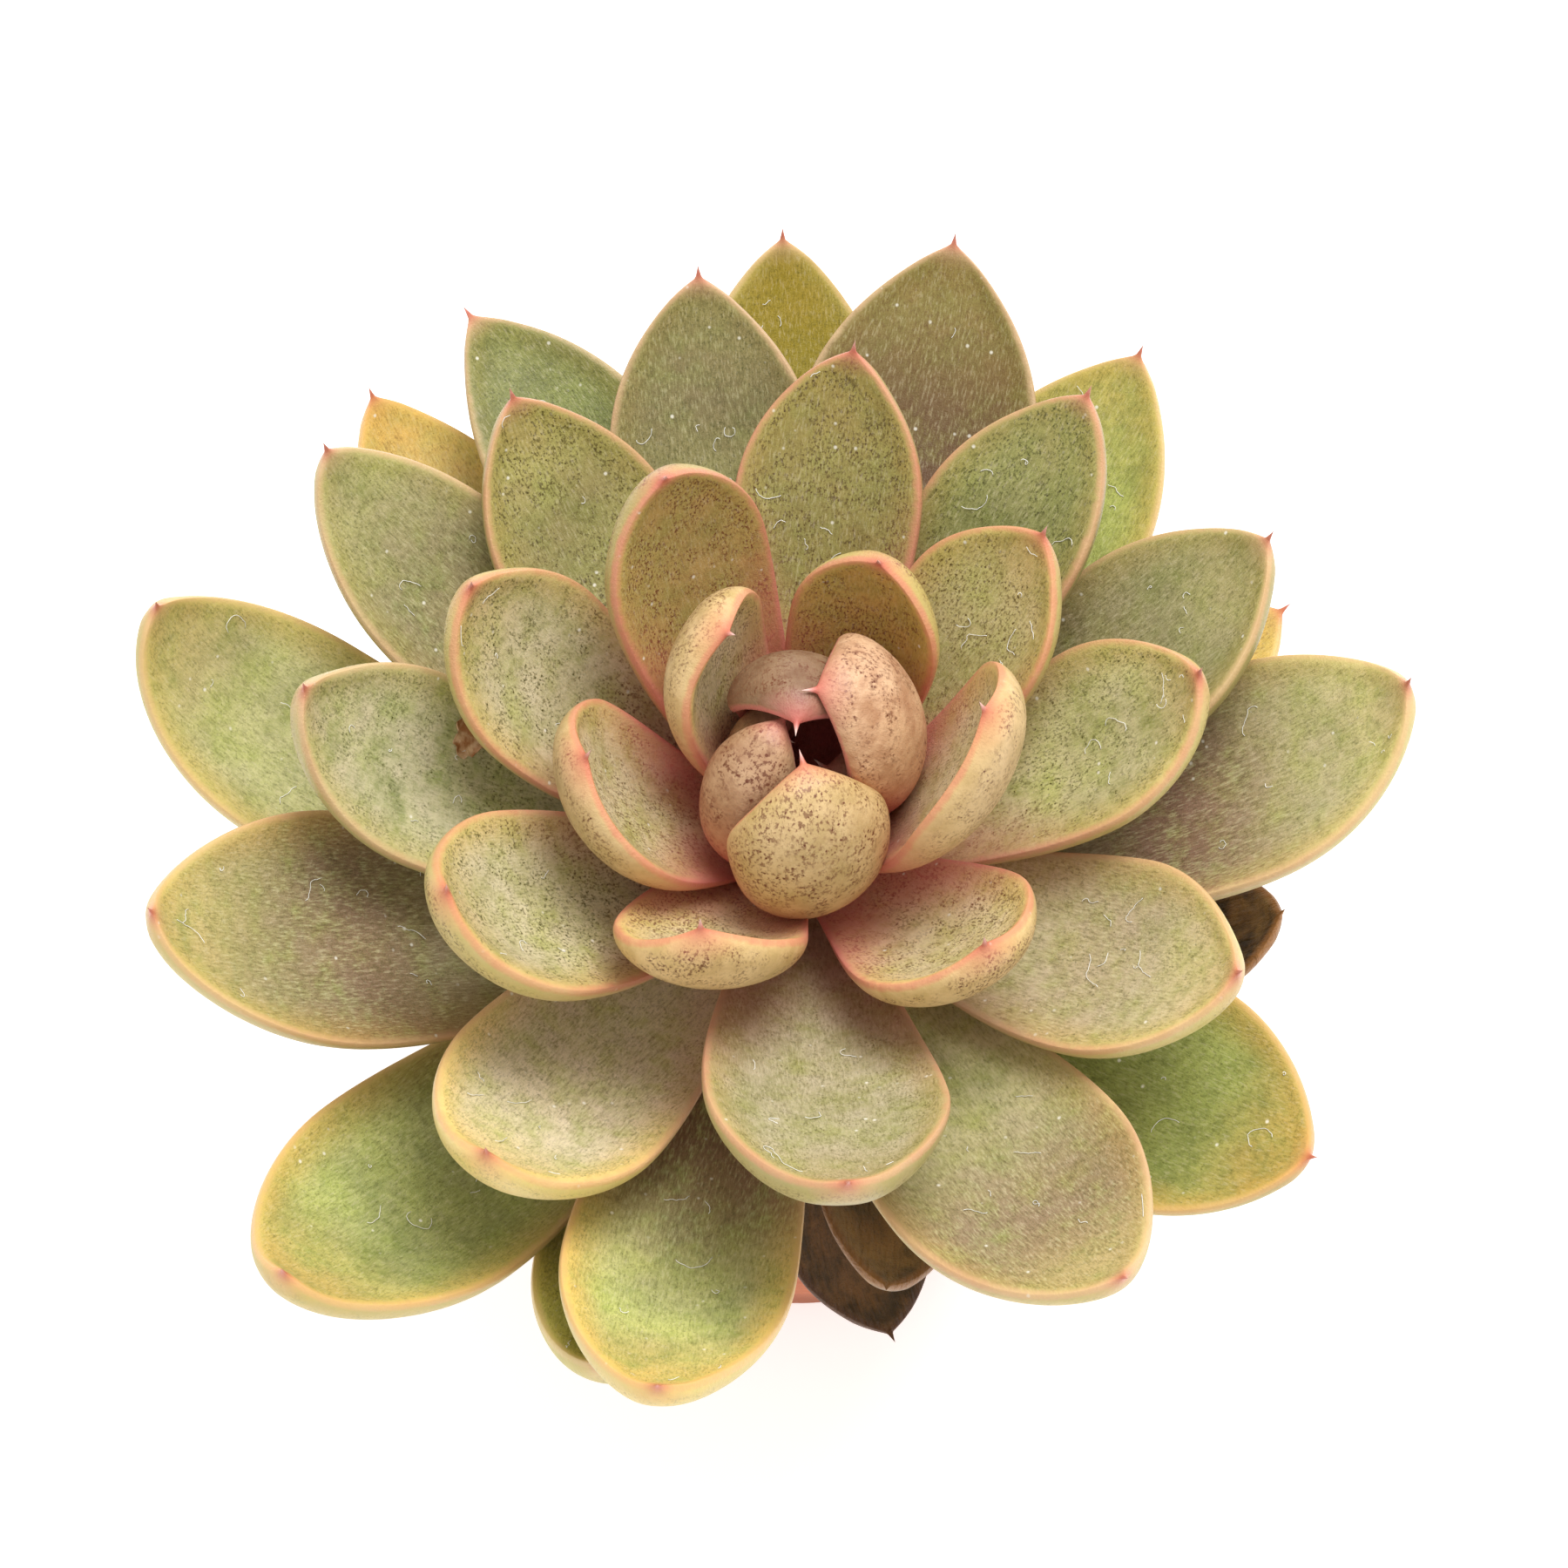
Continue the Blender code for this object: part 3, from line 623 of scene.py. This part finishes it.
# A corky flake: a disc with a wavering outline whose lip is curled up off the leaf.
def addScar(material):
    name = scarForm["leaf"]
    number = list(leafShapes).index(name)
    length = leafShapes[name][3]
    steps = scarForm["steps"]
    reach = np.concatenate([np.linspace(0.04, 1.0, steps), np.linspace(0.96, 0.04, steps)])
    under = np.arange(2 * steps) >= steps
    angle = np.linspace(0, 2 * np.pi, scarForm["around"], endpoint=False)
    reach, angle = np.meshgrid(reach, angle, indexing="ij")
    under = under[:, None] & np.ones_like(angle, bool)
    wander = 1 + 0.16 * np.sin(3 * angle + 1) + 0.09 * np.sin(7 * angle) + 0.05 * np.sin(13 * angle + 2)
    radius = scarForm["radius"] * reach * wander
    along = scarForm["along"] + radius * np.sin(angle) / length
    half = leafHalfWidth(name, along)[0]
    across = np.clip(scarForm["across"] + radius * np.cos(angle) / half, -0.98, 0.98)
    spot = leafSkin(name, along, np.arccos(across), 2.4 * number)[0]
    line, _, _, outward = leafLine(name)
    out = np.stack([np.interp(along, line, outward[i]) for i in range(3)], axis=-1)
    curl = 0.06 + 0.5 * reach**6 * (0.6 + 0.4 * np.sin(4 * angle + 0.6))
    curl = curl + 0.03 * np.sin(9 * reach * np.cos(angle))
    height = np.where(under, curl - 0.1 - 0.05 * (1 - reach), curl)
    rings = spot + out * height[:, :, None]
    rings = rings[::-1]
    foot, top = rings[0].mean(axis=0), rings[-1].mean(axis=0)
    return tubePiece("corky_scar", rings[None], foot, top, material)


def scarMaterial(name):
    material, start = emptyMaterial(name)
    place = objectPlace(start)
    patch = place.noise(900.0, 3)
    grain = place.noise(5000.0, 2)
    colour = patch.ease(0.35, 0.65).mix(paint(172, 116, 72), paint(238, 204, 164))
    return finishMaterial(material, colour, grain * 0.2 + 0.6, patch + grain * 0.3, 0.12,
                          {"Specular IOR Level": 0.3})


addScar(scarMaterial("cork"))
print("lint and scar made")


potForm = {
    "around": 192,
    "wall": 3.0,
    "floor": 4.0,
    "baseRadius": 19.0,
    "rimHeight": 8.0,
    "rimProud": 1.6,
    "rimTaper": 0.6,
    "edge": 0.8,
    "throwing": 0.05,          # mm of the faint rings left by turning
    "drains": 4,
    "drainRadius": 2.2,
    "drainRing": 10.5,
}


# Rounds each corner of a profile with a short arc and adds even steps between the corners.
def roundedProfile(corners, radius, spacing):
    corners = np.array(corners, float)
    made = [corners[:1]]
    for before, corner, after in zip(corners, corners[1:], corners[2:]):
        back, ahead = before - corner, after - corner
        cut = min(radius, 0.45 * np.linalg.norm(back), 0.45 * np.linalg.norm(ahead))
        begin = corner + back / np.linalg.norm(back) * cut
        end = corner + ahead / np.linalg.norm(ahead) * cut
        way = np.linspace(0, 1, 7)[:, None]
        arc = (1 - way) ** 2 * begin + 2 * way * (1 - way) * corner + way**2 * end
        gap = made[-1][-1]
        count = max(1, int(np.linalg.norm(begin - gap) / spacing))
        made.append(gap + (begin - gap) * (np.arange(1, count)[:, None] / count))
        made.append(arc)
    gap = made[-1][-1]
    count = max(1, int(np.linalg.norm(corners[-1] - gap) / spacing))
    made.append(gap + (corners[-1] - gap) * (np.arange(1, count)[:, None] / count))
    return np.concatenate(made)


# Turns a profile of (radius, height) about the upright axis.
def turnedRings(profile, around):
    angle = np.linspace(0, 2 * np.pi, around, endpoint=False)
    radius, height = profile[:, 0, None], profile[:, 1, None]
    return np.stack([radius * np.cos(angle), radius * np.sin(angle), height + 0 * angle], axis=-1)


# The turned pot, from the middle of its underside up the outside, over the rim and down inside,
# with drain holes cut through the floor.
def addPot(material):
    top, radius = potHigh[2], potHigh[0]
    form = potForm
    rimFoot = top - form["rimHeight"]
    body = radius - form["rimProud"]
    inner = body - form["wall"]
    innerFloor = form["baseRadius"] - form["wall"]
    corners = [
        (0.4, 0.0), (form["baseRadius"] - 0.2, 0.0), (body - form["rimTaper"], rimFoot),
        (radius - form["rimTaper"], rimFoot), (radius, top), (inner, top),
        (innerFloor, form["floor"]), (0.4, form["floor"]),
    ]
    profile = roundedProfile(corners, form["edge"], 0.6)
    outside = smooth((profile[:, 0] - 15) / 5)
    ridges = 0.5 + 0.5 * np.sin(profile[:, 1] * 2.6 + np.sin(profile[:, 1]))
    profile[:, 0] -= form["throwing"] * outside * ridges
    rings = turnedRings(profile, form["around"])
    pot = tubePiece("clay_pot", rings[None], np.array([0, 0, 0.0]),
                    np.array([0, 0, form["floor"]]), material)
    angle = 2 * np.pi * (np.arange(form["drains"]) + 0.5) / form["drains"]
    middle = form["drainRing"] * np.stack([np.cos(angle), np.sin(angle)], axis=-1)
    holeProfile = np.array([(form["drainRadius"], -4.0), (form["drainRadius"], 2 * form["floor"])])
    holeMiddles = np.append(middle, np.zeros((len(middle), 1)), axis=1)
    holes = turnedRings(holeProfile, 32)[None] + holeMiddles[:, None, None]
    cutter = tubePiece("drain_cutter", holes, holes[:, 0].mean(axis=1),
                       holes[:, -1].mean(axis=1), material)
    cut = pot.modifiers.new("drains", "BOOLEAN")
    cut.object = cutter
    solid = bpy.data.meshes.new_from_object(pot.evaluated_get(bpy.context.evaluated_depsgraph_get()))
    pot.modifiers.clear()
    pot.data = solid
    bpy.data.objects.remove(cutter)
    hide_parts("pot")


clayPaints = {
    "clay": paint(196, 118, 84),
    "baked": paint(170, 92, 62),
    "chalk": paint(222, 198, 178),
    "damp": paint(140, 84, 60),
}


# Fired clay with slow tone changes, faint rings, sandy grain and chalky salts near the rim.
def clayMaterial(name, paints):
    material, start = emptyMaterial(name)
    place = objectPlace(start)
    height = place.parts()[2]
    slow = place.noise(60.0, 3, 0.6)
    ringed = place.stretch(0.15, 0.15, 1.0).noise(700.0, 2)
    grain = place.noise(2200.0, 3, 0.7)
    grit = place.cells(900.0)
    colour = (slow + ringed * 0.3 - 0.15).ease(0.3, 0.7).mix(paints["baked"], paints["clay"])
    colour = ((1 - height.ease(0.002, 0.016)) * slow.ease(0.35, 0.6) * 0.6).mix(colour, paints["damp"])
    salts = place.noise(130.0, 4, 0.65).ease(0.5, 0.66) * height.ease(0.012, 0.034) * 0.65
    colour = (salts + grain.ease(0.6, 0.75) * 0.25).mix(colour, paints["chalk"])
    colour = ((1 - grit.ease(0.08, 0.2)) * 0.35).mix(colour, paints["baked"])
    roughness = grain * 0.2 + 0.72
    return finishMaterial(material, colour, roughness, grain + ringed * 0.8 + grit * 0.4, 0.08,
                          {"Specular IOR Level": 0.3})


addPot(clayMaterial("fired_clay", clayPaints))
print("pot made")


soilForm = {
    "around": 180,
    "steps": 90,
    "mound": 4.0,
    "crumbs": 0.45,            # mm of unevenness
    "grit": 420,
    "gritSize": (0.45, 1.5),
}


def moundHeight(radius):
    wall = soilHigh[0]
    swell = 0.5 + 0.5 * np.cos(np.pi * radius / wall)
    return soilHigh[2] - soilForm["mound"] + soilForm["mound"] * swell


# The mix fills the pot below its mounded, crumbly top.
def addSoil(material):
    wall = soilHigh[0]
    floorRadius = potForm["baseRadius"] - potForm["wall"] - 0.3
    radii = np.linspace(wall, 0.3, soilForm["steps"])
    profile = np.concatenate([
        np.stack([np.linspace(0.3, floorRadius, 12), np.full(12, soilLow[2])], axis=-1),
        np.stack([np.linspace(floorRadius, wall, 20),
                  np.linspace(soilLow[2], moundHeight(wall), 20)], axis=-1)[1:-1],
        np.stack([radii, moundHeight(radii)], axis=-1),
    ])
    rings = turnedRings(profile, soilForm["around"])
    chance = np.random.default_rng(3)
    x, y, z = rings[..., 0], rings[..., 1], rings[..., 2]
    crumble = 0 * x
    for size in (5.0, 2.6, 1.4, 0.8):
        for _ in range(5):
            heading, phase = chance.uniform(0, 2 * np.pi, 2)
            ahead = x * np.cos(heading) + y * np.sin(heading)
            crumble += size / 5 * np.sin(ahead * 2 * np.pi / size + phase) / 3
    top = smooth((z - moundHeight(wall) + 0.2) / 0.3) * smooth((wall - np.hypot(x, y)) / 0.6)
    rings[..., 2] = z + soilForm["crumbs"] * (crumble - 0.6) * top
    piece = tubePiece("potting_mix", rings[None], rings[0].mean(axis=0),
                      rings[-1].mean(axis=0), material)
    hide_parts("soil")


# Loose grit on the soil: each grain is a small rough ball of a few dozen faces.
def addGrit(name, share, seed, material):
    chance = np.random.default_rng(seed)
    count = int(soilForm["grit"] * share)
    radius = np.sqrt(chance.uniform(0.09, 0.93, count)) * soilHigh[0]
    angle = chance.uniform(0, 2 * np.pi, count)
    size = chance.uniform(*soilForm["gritSize"], count) * chance.uniform(0.6, 1.0, count)
    steps, around = 4, 7
    polar = np.linspace(0.45, np.pi - 0.45, steps)[:, None]
    turn = np.linspace(0, 2 * np.pi, around, endpoint=False)[None]
    ball = np.stack([np.sin(polar) * np.cos(turn), np.sin(polar) * np.sin(turn),
                     -np.cos(polar) + 0 * turn], axis=-1)
    rough = chance.uniform(0.75, 1.15, (count, steps, around, 1))
    squash = np.stack([chance.uniform(0.7, 1.2, count), chance.uniform(0.7, 1.2, count),
                       chance.uniform(0.5, 0.9, count)], axis=-1)
    middle = np.stack([radius * np.cos(angle), radius * np.sin(angle),
                       moundHeight(radius) + size * 0.1], axis=-1)
    grow = (squash * size[:, None])[:, None, None] / 2
    rings = middle[:, None, None] + ball[None] * rough * grow
    feet = middle - [0, 0, 1] * (squash * size[:, None]) / 2
    tips = middle + [0, 0, 1] * (squash * size[:, None]) / 2
    tubePiece(name, rings, feet, tips, material)


soilPaints = {
    "peat": (paint(44, 32, 24), paint(86, 64, 46)),
    "pumice": (paint(188, 180, 164), paint(232, 228, 218)),
    "bark": (paint(92, 58, 36), paint(140, 96, 62)),
}


# Two tones in clumps of a given size, with a grainy dull surface.
def earthMaterial(name, tones, clump):
    material, start = emptyMaterial(name)
    place = objectPlace(start)
    lump = place.noise(clump, 4, 0.7)
    grain = place.noise(clump * 6, 3, 0.7)
    colour = (lump + grain * 0.4 - 0.2).ease(0.32, 0.68).mix(*tones)
    return finishMaterial(material, colour, grain * 0.15 + 0.8, lump + grain * 0.6, 0.3,
                          {"Specular IOR Level": 0.25})


addSoil(earthMaterial("peat", soilPaints["peat"], 900.0))
addGrit("pumice_grit", 0.45, 5, earthMaterial("pumice", soilPaints["pumice"], 1500.0))
addGrit("bark_grit", 0.55, 6, earthMaterial("bark", soilPaints["bark"], 1200.0))
print("soil made")


stemForm = {"around": 120, "steps": 220, "radius": 5.6, "tipRadius": 0.9, "scars": 46, "scarDepth": 0.35}


# A woody stem that tapers inside the rosette. Shallow crescent scars, set in a spiral by the
# golden angle, are pressed into it, and fine cracks run up it.
def addStem(material):
    low, high = stemLow[2] + 0.2, stemHigh[2] - 0.2
    coneTop = high
    coneFoot = coneTop - leafForm["stemFall"] - 2.0
    height = np.linspace(low, high, stemForm["steps"])
    narrow = np.clip((height - coneFoot) / (coneTop - coneFoot), 0.0, 1.0)
    radius = stemForm["radius"] + (stemForm["tipRadius"] - stemForm["radius"]) * narrow
    radius = radius * np.sqrt(np.clip((height - low) / 0.8, 0.05, 1.0))
    radius = radius * np.sqrt(np.clip((high - height) / 0.5, 0.1, 1.0))
    angle = np.linspace(0, 2 * np.pi, stemForm["around"], endpoint=False)
    height, angle = np.meshgrid(height, angle, indexing="ij")
    radius = radius[:, None] + 0 * angle
    press = 0 * angle
    for scar in range(stemForm["scars"]):
        middle = low + (coneFoot + 6 - low) * (scar + 0.5) / stemForm["scars"]
        off = np.angle(np.exp(1j * (angle - 2.39996 * scar))) * stemForm["radius"]
        rise = height - middle + 0.1 * off**2
        crescent = np.exp(-((rise / 0.35) ** 2)) - 0.5 * np.exp(-(((rise - 0.8) / 0.4) ** 2))
        press -= np.exp(-((off / 2.2) ** 4)) * crescent
    cracks = 0.06 * np.sin(angle * 23 + 2 * np.sin(height * 0.8)) * np.sin(angle * 9 + height)
    radius = radius + (stemForm["scarDepth"] * press + cracks) * smooth((radius - 1.0) / 3)
    rings = np.stack([radius * np.cos(angle), radius * np.sin(angle), height], axis=-1)
    piece = tubePiece("woody_stem", rings[None], np.array([0, 0, low]),
                      np.array([0, 0, high]), material)
    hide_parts("stem")


stemPaints = {"bark": paint(122, 96, 66), "pale": paint(176, 152, 112), "crack": paint(66, 48, 34)}


def stemMaterial(name, paints):
    material, start = emptyMaterial(name)
    place = objectPlace(start)
    fibre = place.stretch(1.0, 1.0, 0.25).noise(1500.0, 4, 0.65)
    slow = place.noise(250.0, 3)
    band = place.stretch(0.2, 0.2, 1.0).noise(900.0, 2)
    colour = (slow + fibre * 0.5 - 0.2).ease(0.3, 0.7).mix(paints["bark"], paints["pale"])
    colour = ((fibre * 0.6 + band * 0.6).ease(0.62, 0.8) * 0.7).mix(colour, paints["crack"])
    return finishMaterial(material, colour, fibre * 0.2 + 0.68, fibre + band, 0.2,
                          {"Specular IOR Level": 0.3})


addStem(stemMaterial("stem_bark", stemPaints))
print("stem made")


stageForm = {
    "floorSize": 1.6,          # metres
    "elevation": 65.0,         # degrees above the horizon
    "distance": 0.300,
    "targetAboveLeaves": 0.022,
    "targetSide": -0.0015,
    "lens": 88.5,
    "sky": 0.7,
    "floorGlow": 0.5,         # keeps the floor white round the plant
}


def addFloor():
    half = stageForm["floorSize"] / 2
    mesh = bpy.data.meshes.new("floor")
    corners = [(-half, -half, 0), (half, -half, 0), (half, half, 0), (-half, half, 0)]
    mesh.from_pydata(corners, [], [(0, 1, 2, 3)])
    floor = bpy.data.objects.new("floor", mesh)
    bpy.context.scene.collection.objects.link(floor)
    material = bpy.data.materials.new("pale_floor")
    material.use_nodes = True
    shader = material.node_tree.nodes["Principled BSDF"]
    shader.inputs["Base Color"].default_value = paint(246, 245, 243)
    shader.inputs["Roughness"].default_value = 0.9
    shader.inputs["Specular IOR Level"].default_value = 0.1
    shader.inputs["Emission Color"].default_value = (1.0, 1.0, 1.0, 1.0)
    shader.inputs["Emission Strength"].default_value = stageForm["floorGlow"]
    mesh.materials.append(material)


def addSoftLight(name, place, target, size, power):
    light = bpy.data.lights.new(name, "AREA")
    light.size = size
    light.energy = power
    lamp = bpy.data.objects.new(name, light)
    lamp.location = place
    lamp.rotation_euler = (target - Vector(place)).to_track_quat("-Z", "Y").to_euler()
    bpy.context.scene.collection.objects.link(lamp)


def addSky():
    world = bpy.data.worlds.new("soft_sky")
    bpy.context.scene.world = world
    world.use_nodes = True
    sky = world.node_tree.nodes["Background"]
    sky.inputs["Color"].default_value = (1.0, 0.995, 0.985, 1.0)
    sky.inputs["Strength"].default_value = stageForm["sky"]


def addCamera(target):
    up = math.radians(stageForm["elevation"])
    back = Vector((0.0, -math.cos(up), math.sin(up)))
    camera = bpy.data.cameras.new("camera")
    camera.lens = stageForm["lens"]
    camera.sensor_width = 36.0
    camera.clip_start = 0.01
    eye = bpy.data.objects.new("camera", camera)
    eye.location = target + back * stageForm["distance"]
    eye.rotation_euler = (-back).to_track_quat("-Z", "Y").to_euler()
    bpy.context.scene.collection.objects.link(eye)
    bpy.context.scene.camera = eye


target = Vector((stageForm["targetSide"], 0.0, leafLevel * mm + stageForm["targetAboveLeaves"]))
addFloor()
addSky()
addSoftLight("key", (0.15, 0.22, 0.74), target, 0.42, 5.3)
addSoftLight("fill", (-0.3, -0.4, 0.6), target, 0.7, 0.5)
addCamera(target)
bpy.context.scene.view_settings.view_transform = "Standard"
print("floor, lights and camera made")
